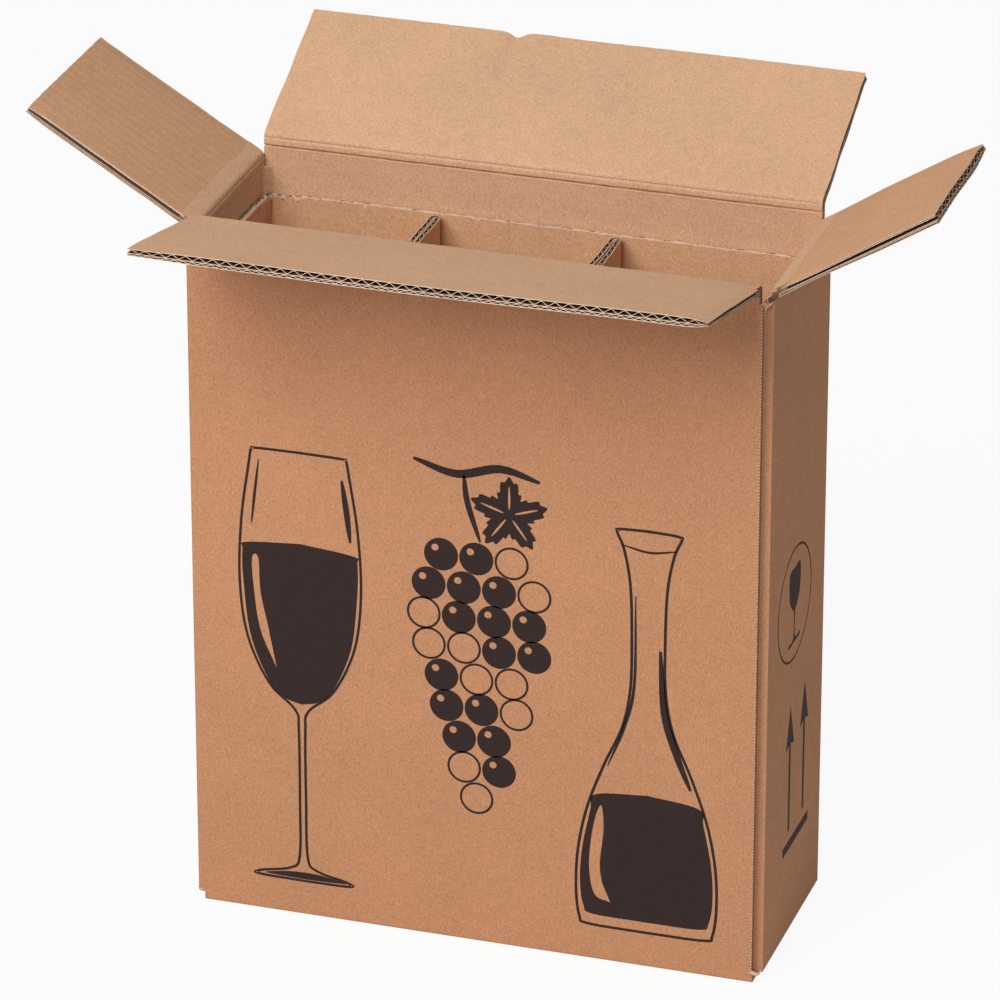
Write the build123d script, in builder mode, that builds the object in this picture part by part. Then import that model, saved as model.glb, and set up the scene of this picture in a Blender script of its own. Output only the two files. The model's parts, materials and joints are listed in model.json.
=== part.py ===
from build123d import *
import os
from math import cos, radians, sin, sqrt

# Mailing carton for three bottles, in double-wall corrugated board. It is glued at one corner, closed at the
# bottom, and its four top flaps stand open. A folded single-wall insert inside it makes three cells.
#
# Frame: millimetres, +Z up, the front panel faces -Y, origin on the floor under the middle of the carton.

# ---- driving dimensions: the carton ----
outer_width = 320.0  # along X
outer_depth = 118.0  # along Y
board = 5.0  # double-wall board, after creasing and handling
side_crease_height = 395.0  # crease of the two side flaps, which close first
stack_clearance = 0.1  # between two closed flaps that lie on each other
crease_relief = 0.15  # each mitred face stands this far back from the crease
corner_radius = 3.0  # outside of a vertical fold
corner_bead = 4.4  # leg of the bead that the inner liner makes inside a vertical fold
post_drop = 0.2  # top of a corner, below the side crease

# ---- the glued corner, front right ----
glued_edge_setback = 5.5  # the front panel's cut edge, from the outside of the right panel
glued_corner_radius = 4.0
tab_width = 36.0
tab_drop = 12.0  # top of the glue tab, below the side crease

# ---- top flaps: length from the crease, opening from upright, slot at each end ----
front_flap_length = 98.0
back_flap_length = 90.0
left_flap_length = 105.0
right_flap_length = 99.0
front_flap_opening = 78.0
back_flap_opening = 64.0
left_flap_opening = 59.0
right_flap_opening = 58.0
long_flap_slot = 4.5  # the carton's outside, to the end of a front or back flap
front_flap_setback = 1.0  # the front flap's right end, from the front panel's cut edge
side_flap_clearance = 1.0  # the inside of a long panel, to the end of a side flap
right_flap_setback = 5.0  # the right flap's front end stands back to clear the glue tab

# ---- flutes, open at the flaps' cut ends ----
liner = 0.3
medium = 0.3  # thickness of the fluted papers
large_flute_pitch = 7.3
small_flute_pitch = 4.95
large_flute_share = 0.64  # of the height between the outer and inner liners
flute_mouth = 5.0  # how far a flute is followed into the board
flute_end_land = 2.5  # board left closed at each end of a row of flutes

# ---- bottom flaps ----
bottom_seam_y = 5.0  # where the two outer bottom flaps meet
bottom_seam_gap = 0.6
bottom_side_flap_length = 102.0
bottom_fold_radius = 1.5

# ---- the insert ----
insert_board = 2.8
insert_top = 376.0
insert_side_gap = 1.5  # to the carton's inner faces
insert_fold_radius = 4.0
left_divider_x = -55.5
right_divider_x = 45.0
divider_back_gap = 2.0  # between a divider's fold and the insert's back wall
divider_fold_gap = 0.4  # between a divider's two boards, at its fold
left_divider_spread = 0.8  # and at its front
right_divider_spread = 5.0
insert_seam_gap = 0.5  # the open joint at the back right

# ---- worked out from the above ----
half_width = outer_width / 2
half_depth = outer_depth / 2
inner_x = half_width - board
inner_y = half_depth - board
flap_step = board + stack_clearance
front_crease_height = side_crease_height + flap_step
back_crease_height = front_crease_height + flap_step
glued_edge_x = half_width - glued_edge_setback
floor_top = 2 * board  # two layers of bottom flaps
post_top = side_crease_height - post_drop
bead_top = side_crease_height - board - post_drop


def wall_crest(crease_height, outside, inward):
    """Corners of a wall's mitred top in section: (distance across the wall, height)."""
    low = side_crease_height - 2 * board
    return [
        (outside, low),
        (outside + inward * board, low),
        (outside + inward * board, crease_height - board - crease_relief),
        (outside, crease_height - crease_relief),
    ]


def flute_row(width, base_height, height, pitch):
    """Mouths of one row of flutes, as (x, y, turned) centres with their half width and height."""
    slope = height / (pitch / 2)
    band = medium * sqrt(1 + slope * slope)
    rise = height - band
    half_base = rise / slope
    count = int((width - 2 * flute_end_land) / pitch)
    start = -(count - 1) * pitch / 2
    standing = [(start + i * pitch, base_height) for i in range(count)]
    hanging = [(start + (i + 0.5) * pitch, base_height + height) for i in range(count - 1)]
    return half_base, rise, standing, hanging


# ======================================================================
# The carton's body: four walls, glue tab and bottom flaps, one folded and glued sheet
# ======================================================================
with BuildPart() as carton_body:
    # the walls as one ring, up to the corners' tops
    with BuildSketch(Plane.XY.offset(board)):
        with BuildLine():
            FilletPolyline(
                (-half_width, -half_depth),
                (half_width, -half_depth),
                (half_width, half_depth),
                (-half_width, half_depth),
                radius=corner_radius,
                close=True,
            )
        make_face()
        Rectangle(2 * inner_x, 2 * inner_y, mode=Mode.SUBTRACT)
    extrude(amount=post_top - board)

    # the front panel stops short of the corner, where the right panel turns behind it
    with BuildSketch(Plane.XY):
        with Locations((glued_edge_x, -half_depth)):
            Rectangle(2 * glued_edge_setback, board, align=(Align.MIN, Align.MIN))
    extrude(amount=back_crease_height, mode=Mode.SUBTRACT)
    with BuildSketch(Plane.XY.offset(board)):
        with BuildLine():
            Polyline(
                (inner_x - tab_width, -inner_y),
                (half_width - glued_corner_radius, -inner_y),
            )
            RadiusArc(
                (half_width - glued_corner_radius, -inner_y),
                (half_width, -inner_y + glued_corner_radius),
                -glued_corner_radius,
            )
            Polyline(
                (half_width, -inner_y + glued_corner_radius),
                (half_width, -inner_y + 2 * board),
                (inner_x, -inner_y + 2 * board),
                (inner_x, -inner_y + board),
                (inner_x - tab_width, -inner_y + board),
                (inner_x - tab_width, -inner_y),
            )
        make_face()
    extrude(amount=side_crease_height - tab_drop - board)

    # beads inside the three other vertical folds
    with BuildSketch(Plane.XY.offset(board)):
        for x_side, y_side in ((-1, -1), (-1, 1), (1, 1)):
            corner = (x_side * inner_x, y_side * inner_y)
            with BuildLine():
                Polyline(
                    corner,
                    (corner[0] - x_side * corner_bead, corner[1]),
                    (corner[0], corner[1] - y_side * corner_bead),
                    corner,
                )
            make_face()
    extrude(amount=bead_top - board)

    # the side panels' tops are mitred for their flaps' creases
    for side in (-1, 1):
        with BuildSketch(Plane.XZ):
            with BuildLine():
                Polyline(
                    (side * half_width, side_crease_height - crease_relief),
                    (side * inner_x, side_crease_height - board - crease_relief),
                    (side * (inner_x - corner_bead), side_crease_height - board - crease_relief),
                    (side * (inner_x - corner_bead), back_crease_height),
                    (side * (half_width + board), back_crease_height),
                    (side * (half_width + board), side_crease_height - crease_relief),
                    (side * half_width, side_crease_height - crease_relief),
                )
            make_face()
        extrude(amount=inner_y, both=True, mode=Mode.SUBTRACT)

    # the front and back panels rise one and two boards above the side creases
    with BuildSketch(Plane.YZ.offset(-half_width + long_flap_slot)):
        Polygon(*wall_crest(front_crease_height, -half_depth, 1), align=None)
    extrude(amount=glued_edge_x - front_flap_setback + half_width - long_flap_slot)
    with BuildSketch(Plane.YZ.offset(-half_width + long_flap_slot)):
        Polygon(*wall_crest(back_crease_height, half_depth, -1), align=None)
    extrude(amount=outer_width - 2 * long_flap_slot)

    # bottom: the two long flaps outside, meeting at a seam, and the side flaps glued on them
    for near_y, far_y in (
        (-half_depth, bottom_seam_y - bottom_seam_gap / 2),
        (bottom_seam_y + bottom_seam_gap / 2, half_depth),
    ):
        with BuildSketch(Plane.XY):
            with Locations((0, near_y)):
                Rectangle(
                    outer_width - 2 * long_flap_slot,
                    far_y - near_y,
                    align=(Align.CENTER, Align.MIN),
                )
        extrude(amount=board)
    for side in (-1, 1):
        with BuildSketch(Plane.XY.offset(board)):
            with Locations((side * (half_width - bottom_side_flap_length / 2), 0)):
                Rectangle(bottom_side_flap_length - board, 2 * inner_y)
            with Locations((side * (inner_x - board / 2), 0)):
                Rectangle(2 * board, 2 * inner_y)
        extrude(amount=board)
    outer_bottom_folds = (
        carton_body.edges().filter_by(Axis.X).group_by(Axis.Z)[0].filter_by(
            lambda edge: abs(edge.center().Y) > half_depth - board
        )
    )
    fillet(outer_bottom_folds, radius=bottom_fold_radius)

carton_body.part.label = "carton_body"

# ======================================================================
# The four top flaps, each standing open on its crease
# ======================================================================
front_flap_left = -half_width + long_flap_slot
front_flap_right = glued_edge_x - front_flap_setback
side_flap_reach = inner_y - side_flap_clearance

# name: outward direction, crease height, middle of the crease, width, length, opening
flap_sizes = {
    "front_flap": (
        Vector(0, -1, 0),
        Vector((front_flap_left + front_flap_right) / 2, -half_depth, front_crease_height),
        front_flap_right - front_flap_left,
        front_flap_length,
        front_flap_opening,
    ),
    "back_flap": (
        Vector(0, 1, 0),
        Vector(0, half_depth, back_crease_height),
        outer_width - 2 * long_flap_slot,
        back_flap_length,
        back_flap_opening,
    ),
    "left_flap": (
        Vector(-1, 0, 0),
        Vector(-half_width, 0, side_crease_height),
        2 * side_flap_reach,
        left_flap_length,
        left_flap_opening,
    ),
    "right_flap": (
        Vector(1, 0, 0),
        Vector(half_width, right_flap_setback / 2, side_crease_height),
        2 * side_flap_reach - right_flap_setback,
        right_flap_length,
        right_flap_opening,
    ),
}

core = board - 2 * liner
middle_liner_height = liner + core * (1 - large_flute_share)  # the small flutes lie outside

flaps = {}
for name, (outward, crease_middle, width, length, opening) in flap_sizes.items():
    along = Vector(0, 0, 1).cross(outward)
    reach = outward * sin(radians(opening)) + Vector(0, 0, cos(radians(opening)))
    side_view = Plane(origin=crease_middle, x_dir=reach, z_dir=-along)
    tip_view = Plane(origin=crease_middle + reach * length, x_dir=along, z_dir=reach)

    with BuildPart() as flap:
        # outer face at 0, inner face at the board's thickness, mitred at the crease
        with BuildSketch(side_view):
            Polygon(
                (crease_relief, 0),
                (length, 0),
                (length, board),
                (crease_relief + board, board),
                align=None,
            )
        extrude(amount=width / 2, both=True)

        # open flutes in the cut end: small ones by the outer face, large ones by the inner face
        for base_height, height, pitch in (
            (liner, middle_liner_height - liner - medium / 2, small_flute_pitch),
            (
                middle_liner_height + medium / 2,
                board - liner - middle_liner_height - medium / 2,
                large_flute_pitch,
            ),
        ):
            half_base, rise, standing, hanging = flute_row(width, base_height, height, pitch)
            with BuildSketch(tip_view):
                with Locations(*standing):
                    Polygon((-half_base, 0), (half_base, 0), (0, rise), align=None)
                with Locations(*hanging):
                    Polygon((-half_base, 0), (0, -rise), (half_base, 0), align=None)
            extrude(amount=-flute_mouth, mode=Mode.SUBTRACT)

    flap.part.label = name
    flaps[name] = flap

# ======================================================================
# The insert: one sheet, folded into end walls, a back wall, front panels and two doubled dividers
# ======================================================================
insert_x = inner_x - insert_side_gap
insert_back = inner_y - insert_side_gap
insert_front = -inner_y + board + insert_side_gap  # clears the glue tab inside the front panel
back_wall_face = insert_back - insert_board
fold_end = back_wall_face - divider_back_gap

with BuildPart() as bottle_insert:
    with BuildSketch(Plane.XY.offset(floor_top)) as insert_plan:
        with BuildLine():
            FilletPolyline(
                (-insert_x, insert_front),
                (insert_x, insert_front),
                (insert_x, insert_back),
                (-insert_x, insert_back),
                radius=insert_fold_radius,
                close=True,
            )
        make_face()
        with Locations((0, (insert_front + insert_back) / 2)):
            Rectangle(
                2 * (insert_x - insert_board),
                insert_back - insert_front - 2 * insert_board,
                mode=Mode.SUBTRACT,
            )
        # the sheet's two ends don't meet at the back right
        with Locations((insert_x - insert_fold_radius, back_wall_face)):
            Rectangle(
                2 * insert_fold_radius,
                insert_seam_gap,
                align=(Align.MIN, Align.MAX),
                mode=Mode.SUBTRACT,
            )
        for divider_x, spread in (
            (left_divider_x, left_divider_spread),
            (right_divider_x, right_divider_spread),
        ):
            front_half = spread / 2 + insert_board
            back_half = divider_fold_gap / 2 + insert_board
            # both boards and the fold that joins them at the back
            Polygon(
                (divider_x - front_half, insert_front),
                (divider_x + front_half, insert_front),
                (divider_x + back_half, fold_end - back_half),
                (divider_x - back_half, fold_end - back_half),
                align=None,
            )
            with Locations((divider_x, fold_end - back_half)):
                Circle(back_half)
            # the space between the two boards, open to the front
            Polygon(
                (divider_x - spread / 2, insert_front),
                (divider_x + spread / 2, insert_front),
                (divider_x + divider_fold_gap / 2, fold_end - back_half),
                (divider_x - divider_fold_gap / 2, fold_end - back_half),
                align=None,
                mode=Mode.SUBTRACT,
            )
    extrude(amount=insert_top - floor_top)

bottle_insert.part.label = "bottle_insert"

# ======================================================================
# One STEP file for each piece
# ======================================================================
os.makedirs("parts", exist_ok=True)
export_step(carton_body.part, "parts/carton_body.step")
export_step(bottle_insert.part, "parts/bottle_insert.step")
for name, flap in flaps.items():
    export_step(flap.part, f"parts/{name}.step")
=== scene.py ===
"""Looks of a corrugated mailing carton for three bottles, with its top flaps open.

The carton's body comes from the frame. Flaps, creases, insert, cut edges and print are made here as sheets.
Sizes are in millimetres, and become metres where a mesh is made.
"""
import json
import math

import bmesh
import bpy
import numpy as np
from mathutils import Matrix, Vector
from mathutils.geometry import tessellate_polygon

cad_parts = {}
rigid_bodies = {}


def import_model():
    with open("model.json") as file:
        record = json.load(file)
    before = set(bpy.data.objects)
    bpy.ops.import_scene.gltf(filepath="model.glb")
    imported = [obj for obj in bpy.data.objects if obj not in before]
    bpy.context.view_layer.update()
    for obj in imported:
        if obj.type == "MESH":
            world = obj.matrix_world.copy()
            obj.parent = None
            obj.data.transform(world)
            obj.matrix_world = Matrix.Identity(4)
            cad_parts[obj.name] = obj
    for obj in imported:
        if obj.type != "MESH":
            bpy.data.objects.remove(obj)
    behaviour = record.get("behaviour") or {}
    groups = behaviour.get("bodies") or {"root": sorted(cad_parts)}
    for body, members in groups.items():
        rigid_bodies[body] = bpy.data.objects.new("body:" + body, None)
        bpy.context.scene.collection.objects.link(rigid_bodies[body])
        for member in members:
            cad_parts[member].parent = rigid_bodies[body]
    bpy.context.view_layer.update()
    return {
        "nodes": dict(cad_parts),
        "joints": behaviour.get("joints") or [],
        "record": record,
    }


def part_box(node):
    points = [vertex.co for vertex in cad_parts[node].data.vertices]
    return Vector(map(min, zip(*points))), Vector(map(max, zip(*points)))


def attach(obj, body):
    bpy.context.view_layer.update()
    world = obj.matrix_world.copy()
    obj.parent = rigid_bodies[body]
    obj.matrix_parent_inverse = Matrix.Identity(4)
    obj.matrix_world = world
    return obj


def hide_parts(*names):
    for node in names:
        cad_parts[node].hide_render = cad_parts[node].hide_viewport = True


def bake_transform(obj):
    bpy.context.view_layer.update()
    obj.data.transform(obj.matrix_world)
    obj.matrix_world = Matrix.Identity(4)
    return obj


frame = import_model()

MM = 0.001
scene = bpy.context.scene
TURN = 2 * math.pi

# ======================================================================
# Sizes taken from the frame
# ======================================================================
BODY_LOW, BODY_HIGH = (np.array(corner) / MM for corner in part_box("carton_body"))
INSERT_LOW, INSERT_HIGH = (np.array(corner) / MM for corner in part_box("bottle_insert"))
JOINTS = {joint["child"]: joint for joint in frame["joints"]}
OPENINGS = {box["name"]: np.array(box["box_m"]) / MM for box in frame["record"]["physics"]["openings"]}
CARTON = frame["joints"][0]["parent"]
HALF_WIDTH = BODY_HIGH[0]
HALF_DEPTH = BODY_HIGH[1]
UP = np.array([0.0, 0.0, 1.0])


def node_span(node, origin, direction):
    """Least and greatest distance of a CAD node's points from origin along a direction."""
    vertices = frame["nodes"][node].data.vertices
    points = np.array([vertex.co for vertex in vertices]) / MM
    along = (points - origin) @ direction
    return along.min(), along.max()


class FlapFrame:
    """Where a flap stands: along its crease, out from it, and through its board from the outer face."""

    def __init__(self, node):
        joint = JOINTS[node]
        self.node = node
        self.crease = np.array(joint["pos_m"]) / MM
        self.along = np.array(joint["axis"], float)
        self.outward = np.cross(self.along, UP)
        self.opening = math.radians(-joint["range_deg"][0] - 90)
        self.reach = self.outward * math.sin(self.opening) + UP * math.cos(self.opening)
        self.through = np.cross(self.reach, self.along)
        left, right = node_span(node, self.crease, self.along)
        self.left, self.right = left, right
        self.half = (right - left) / 2
        self.length = node_span(node, self.crease, self.reach)[1]
        self.board = node_span(node, self.crease, self.through)[1]


FLAPS = {node: FlapFrame(node) for node in JOINTS}
BOARD = FLAPS["back_flap"].board

# ---- papers of the double-wall board, heights measured from the outer face ----
LINER = 0.4
MEDIUM = 0.36
LARGE_PITCH = 7.3
SMALL_PITCH = 4.95
MIDDLE_LINER = 1.88
INSERT_BOARD = 2.8
INSERT_PITCH = 6.3
INSERT_LINER = 0.36
TOOTH_PITCH = 1.8  # of the saw-toothed cut along the glued corner
LINER_STEP = 1.5  # between a liner's points, along the flap
LARGE_STEPS = 12  # points along one flute
SMALL_STEPS = 10
LARGE_PHASE = 0.4  # where along the flap the first flute starts
SMALL_PHASE = 1.3
CUT_TOP_HEIGHT = 380  # faces that look up above this height are cut edges of the walls


# ======================================================================
# Materials
# ======================================================================
def linear(red, green, blue):
    """A display colour, 0 to 255, as linear light."""
    return tuple(
        (c / 255 / 12.92) if c / 255 <= 0.04045 else ((c / 255 + 0.055) / 1.055) ** 2.4
        for c in (red, green, blue)
    ) + (1.0,)


class Nodes:
    """A small helper that adds shader nodes and joins them."""

    def __init__(self, name):
        self.material = bpy.data.materials.new(name)
        self.material.use_nodes = True
        self.tree = self.material.node_tree
        self.tree.nodes.clear()
        self.output = self.add("ShaderNodeOutputMaterial")

    def add(self, kind, inputs=None, **settings):
        node = self.tree.nodes.new(kind)
        for key, value in settings.items():
            setattr(node, key, value)
        for key, value in (inputs or {}).items():
            if isinstance(value, bpy.types.NodeSocket):
                self.tree.links.new(value, node.inputs[key])
            else:
                node.inputs[key].default_value = value
        return node

    def math(self, operation, first, second=0.0):
        return self.add("ShaderNodeMath", {0: first, 1: second}, operation=operation).outputs[0]

    def mix(self, share, first, second, blend="MIX"):
        node = self.add("ShaderNodeMix", data_type="RGBA", blend_type=blend)
        sockets = {"Factor": node.inputs[0], "A": node.inputs[6], "B": node.inputs[7]}
        for key, value in (("Factor", share), ("A", first), ("B", second)):
            if isinstance(value, bpy.types.NodeSocket):
                self.tree.links.new(value, sockets[key])
            else:
                sockets[key].default_value = value
        return node.outputs[2]

    def between(self, value, low, high):
        """0 below low, 1 above high."""
        node = self.add(
            "ShaderNodeMapRange", {"Value": value, "From Min": low, "From Max": high}, clamp=True
        )
        return node.outputs[0]


def paper_texture(nodes, colour, flecks, mottle):
    """Colour of kraft paper, and the height of its grain, from a base colour."""
    place = nodes.add("ShaderNodeTexCoord").outputs["Object"]
    fine = nodes.add(
        "ShaderNodeTexNoise", {"Vector": place, "Scale": 1150.0, "Detail": 5.0, "Roughness": 0.68}
    ).outputs["Fac"]
    cloud = nodes.add(
        "ShaderNodeTexNoise", {"Vector": place, "Scale": 170.0, "Detail": 4.0, "Roughness": 0.6}
    ).outputs["Fac"]
    wide = nodes.add(
        "ShaderNodeTexNoise", {"Vector": place, "Scale": 14.0, "Detail": 3.0, "Roughness": 0.55}
    ).outputs["Fac"]
    fibre_place = nodes.add(
        "ShaderNodeMapping", {"Vector": place, "Scale": (1.0, 1.0, 0.28), "Rotation": (0.2, 0.3, 0.1)}
    ).outputs[0]
    fibre = nodes.add(
        "ShaderNodeTexNoise", {"Vector": fibre_place, "Scale": 2300.0, "Detail": 3.0, "Roughness": 0.7}
    ).outputs["Fac"]
    shade = nodes.math("MULTIPLY", nodes.math("SUBTRACT", fine, 0.5), flecks)
    shade = nodes.math("ADD", shade, nodes.math("MULTIPLY", nodes.math("SUBTRACT", fibre, 0.5), flecks))
    shade = nodes.math("ADD", shade, nodes.math("MULTIPLY", nodes.math("SUBTRACT", cloud, 0.5), mottle))
    shade = nodes.math("ADD", shade, nodes.math("MULTIPLY", nodes.math("SUBTRACT", wide, 0.5), mottle))
    bright = nodes.math("ADD", shade, 1.0)
    grey = nodes.add("ShaderNodeCombineColor", {0: bright, 1: bright, 2: bright}).outputs[0]
    tinted = nodes.mix(1.0, colour, grey, "MULTIPLY")
    dark_flecks = nodes.between(fibre, 0.66, 0.74)
    tinted = nodes.mix(nodes.math("MULTIPLY", dark_flecks, 0.32), tinted, linear(112, 70, 46))
    pale_flecks = nodes.between(fine, 0.66, 0.76)
    tinted = nodes.mix(nodes.math("MULTIPLY", pale_flecks, 0.3), tinted, linear(226, 186, 148))
    return place, tinted, nodes.math("ADD", fine, nodes.math("MULTIPLY", cloud, 0.6))


def washboard(nodes, place, axis, pitch):
    """Height of the ridges that the flutes press through a liner, across one axis of the frame."""
    parts = nodes.add("ShaderNodeSeparateXYZ", {0: place}).outputs
    return nodes.math("SINE", nodes.math("MULTIPLY", parts[axis], TURN / (pitch * MM)))


def finish_paper(nodes, colour, height, roughness=0.86, grain=0.00009):
    """The paper's shader: matt, with its height as bump."""
    bump = nodes.add(
        "ShaderNodeBump", {"Height": height, "Strength": 0.55, "Distance": grain}
    ).outputs[0]
    shader = nodes.add(
        "ShaderNodeBsdfPrincipled",
        {"Base Color": colour, "Roughness": roughness, "Specular IOR Level": 0.22, "Normal": bump},
    )
    nodes.tree.links.new(shader.outputs[0], nodes.output.inputs[0])
    return nodes.material


KRAFT_FLECKS = 1.15
KRAFT_MOTTLE = 0.2
OUTSIDE = linear(193, 139, 102)
INSIDE = linear(211, 168, 133)
INSIDE_OF_SIDE_FLAPS = linear(205, 158, 120)
INSERT_COLOUR = linear(211, 163, 124)
CUT_EDGE = linear(222, 194, 170)
# painted shade: the flute paper gets a dark brown in place of its own pale tan, standing in for the shade inside
# the flutes and between the papers
FLUTE_PAPER_AND_PAINTED_SHADE = linear(132, 98, 74)


def kraft(name, colour, axis=None, pitch=LARGE_PITCH, flecks=KRAFT_FLECKS, mottle=KRAFT_MOTTLE, ridges=0.5):
    """Kraft paper, with flutes pressed through it across an axis where one is given."""
    nodes = Nodes(name)
    place, tinted, height = paper_texture(nodes, colour, flecks, mottle)
    if axis is not None:
        pressed = nodes.math("MULTIPLY", washboard(nodes, place, axis, pitch), ridges)
        height = nodes.math("ADD", height, pressed)
    return finish_paper(nodes, tinted, height)


def carton_kraft():
    """One material for the carton's body: brown outside, lighter inside, pale on its cut tops."""
    nodes = Nodes("carton_kraft")
    place = nodes.add("ShaderNodeTexCoord").outputs["Object"]
    parts = nodes.add("ShaderNodeSeparateXYZ", {0: place}).outputs
    margin = 0.4
    inner_half_width = (HALF_WIDTH - BOARD + margin) * MM
    inner_half_depth = (HALF_DEPTH - BOARD + margin) * MM
    inside_x = nodes.math("LESS_THAN", nodes.math("ABSOLUTE", parts[0]), inner_half_width)
    inside_y = nodes.math("LESS_THAN", nodes.math("ABSOLUTE", parts[1]), inner_half_depth)
    inside = nodes.math("MULTIPLY", inside_x, inside_y)
    inside = nodes.math("MULTIPLY", inside, nodes.math("GREATER_THAN", parts[2], BOARD * MM))
    colour = nodes.mix(inside, OUTSIDE, INSIDE)
    normal = nodes.add("ShaderNodeNewGeometry").outputs["Normal"]
    facing = nodes.add("ShaderNodeSeparateXYZ", {0: normal}).outputs
    looks_up = nodes.math("GREATER_THAN", facing[2], 0.4)
    high_up = nodes.math("GREATER_THAN", parts[2], CUT_TOP_HEIGHT * MM)
    top = nodes.math("MULTIPLY", looks_up, high_up)
    colour = nodes.mix(nodes.math("MULTIPLY", top, 0.7), colour, CUT_EDGE)
    _, tinted, height = paper_texture(nodes, colour, KRAFT_FLECKS, KRAFT_MOTTLE)
    long_side = nodes.math("ABSOLUTE", facing[1])
    short_side = nodes.math("ABSOLUTE", facing[0])
    ridges = nodes.math(
        "ADD",
        nodes.math("MULTIPLY", washboard(nodes, place, 0, SMALL_PITCH), long_side),
        nodes.math("MULTIPLY", washboard(nodes, place, 1, SMALL_PITCH), short_side),
    )
    height = nodes.math("ADD", height, nodes.math("MULTIPLY", ridges, 0.35))
    return finish_paper(nodes, tinted, height)


def print_ink():
    """Dark brown ink, a little worn where the paper's grain stands proud."""
    nodes = Nodes("print_ink")
    place = nodes.add("ShaderNodeTexCoord").outputs["Object"]
    grain = nodes.add(
        "ShaderNodeTexNoise", {"Vector": place, "Scale": 900.0, "Detail": 4.0, "Roughness": 0.7}
    ).outputs["Fac"]
    colour = nodes.mix(nodes.between(grain, 0.56, 0.8), linear(48, 35, 33), linear(84, 58, 47))
    return finish_paper(nodes, colour, grain, roughness=0.85)


def toothed_edge_painted_shade():
    """The front panel's cut edge: pale cut teeth, one every pitch up the edge, with brown painted shade between
    them and behind them.
    """
    nodes = Nodes("toothed_edge_painted_shade")
    place = nodes.add("ShaderNodeTexCoord").outputs["Object"]
    wave = nodes.between(washboard(nodes, place, 2, TOOTH_PITCH), -0.1, 0.75)
    front = nodes.add("ShaderNodeSeparateXYZ", {0: place}).outputs[1]
    depth = nodes.math("MULTIPLY", front, -1.0)
    near_front = nodes.between(depth, (HALF_DEPTH - 2.2) * MM, (HALF_DEPTH - 1.2) * MM)
    share = nodes.math("MULTIPLY", wave, near_front)
    # brown is painted shade between and behind the teeth; pale is the cut paper of the teeth
    colour = nodes.mix(share, linear(170, 118, 84), linear(228, 196, 168))
    _, tinted, height = paper_texture(nodes, colour, 0.8, 0.2)
    return finish_paper(nodes, tinted, height)


BODY_PAPER = carton_kraft()
TEETH_AND_PAINTED_SHADE = toothed_edge_painted_shade()
OUTER_X = kraft("outer_liner_x", OUTSIDE, 0, SMALL_PITCH)
OUTER_Y = kraft("outer_liner_y", OUTSIDE, 1, SMALL_PITCH)
INNER_X = kraft("inner_liner_x", INSIDE, 0)
INNER_Y = kraft("inner_liner_y", INSIDE_OF_SIDE_FLAPS, 1, ridges=1.0)
PLAIN_INSIDE = kraft("inside_kraft", INSIDE)
PLAIN_OUTSIDE = kraft("outside_kraft", OUTSIDE)
EDGE = kraft("cut_edge", CUT_EDGE, flecks=0.9, mottle=0.3)
# the flute paper, darkened as painted shade inside the board
FLUTES_WITH_PAINTED_SHADE = kraft("flute_paper_painted_shade", FLUTE_PAPER_AND_PAINTED_SHADE, flecks=0.5)
INSERT_PAPER = kraft("insert_kraft", INSERT_COLOUR)
INK = print_ink()


# ======================================================================
# Meshes
# ======================================================================
def add_mesh(name, points, faces, materials, face_materials=None, body=CARTON, slot="outer_board"):
    """A piece from points in millimetres. It rides on its body, unless that is None."""
    mesh = bpy.data.meshes.new(name)
    mesh.from_pydata((np.asarray(points) * MM).tolist(), [], [list(map(int, face)) for face in faces])
    for material in materials:
        mesh.materials.append(material)
    if face_materials is not None:
        mesh.polygons.foreach_set("material_index", np.asarray(face_materials, dtype=np.int32))
    build = bmesh.new()
    build.from_mesh(mesh)
    bmesh.ops.recalc_face_normals(build, faces=build.faces)
    build.to_mesh(mesh)
    build.free()
    mesh.polygons.foreach_set("use_smooth", np.ones(len(mesh.polygons), dtype=bool))
    mesh.set_sharp_from_angle(angle=math.radians(38))
    mesh.update()
    piece = bpy.data.objects.new(name, mesh)
    scene.collection.objects.link(piece)
    if body:
        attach(piece, body)
    return piece


def grid_faces(rows, columns):
    """Quads of a closed sheet: its upper side, its lower side and its rim, with a number for each kind."""
    upper = np.arange(rows * columns).reshape(rows, columns)
    lower = upper + rows * columns

    def quads(a, b, c, d):
        return np.stack([a, b, c, d], axis=-1).reshape(-1, 4)

    top = quads(upper[:-1, :-1], upper[1:, :-1], upper[1:, 1:], upper[:-1, 1:])
    bottom = quads(lower[:-1, :-1], lower[:-1, 1:], lower[1:, 1:], lower[1:, :-1])
    rim = [
        quads(upper[1:, 0], upper[:-1, 0], lower[:-1, 0], lower[1:, 0]),
        quads(upper[:-1, -1], upper[1:, -1], lower[1:, -1], lower[:-1, -1]),
        quads(upper[0, :-1], upper[0, 1:], lower[0, 1:], lower[0, :-1]),
        quads(upper[-1, 1:], upper[-1, :-1], lower[-1, :-1], lower[-1, 1:]),
    ]
    rim = np.concatenate(rim)
    kinds = np.concatenate([np.full(len(top), 0), np.full(len(bottom), 1), np.full(len(rim), 2)])
    return np.concatenate([top, bottom, rim]), kinds


class Stack:
    """Collects several closed sheets into one mesh."""

    def __init__(self):
        self.points, self.faces, self.kinds, self.count = [], [], [], 0

    def sheet(self, upper, lower, upper_material, lower_material, rim_material):
        rows, columns = upper.shape[:2]
        faces, kinds = grid_faces(rows, columns)
        self.points.append(np.concatenate([upper.reshape(-1, 3), lower.reshape(-1, 3)]))
        self.faces.append(faces + self.count)
        self.kinds.append(np.choose(kinds, [upper_material, lower_material, rim_material]))
        self.count += 2 * rows * columns

    def build(self, name, materials, **where):
        return add_mesh(
            name, np.concatenate(self.points), np.concatenate(self.faces), materials,
            np.concatenate(self.kinds), **where,
        )


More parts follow.
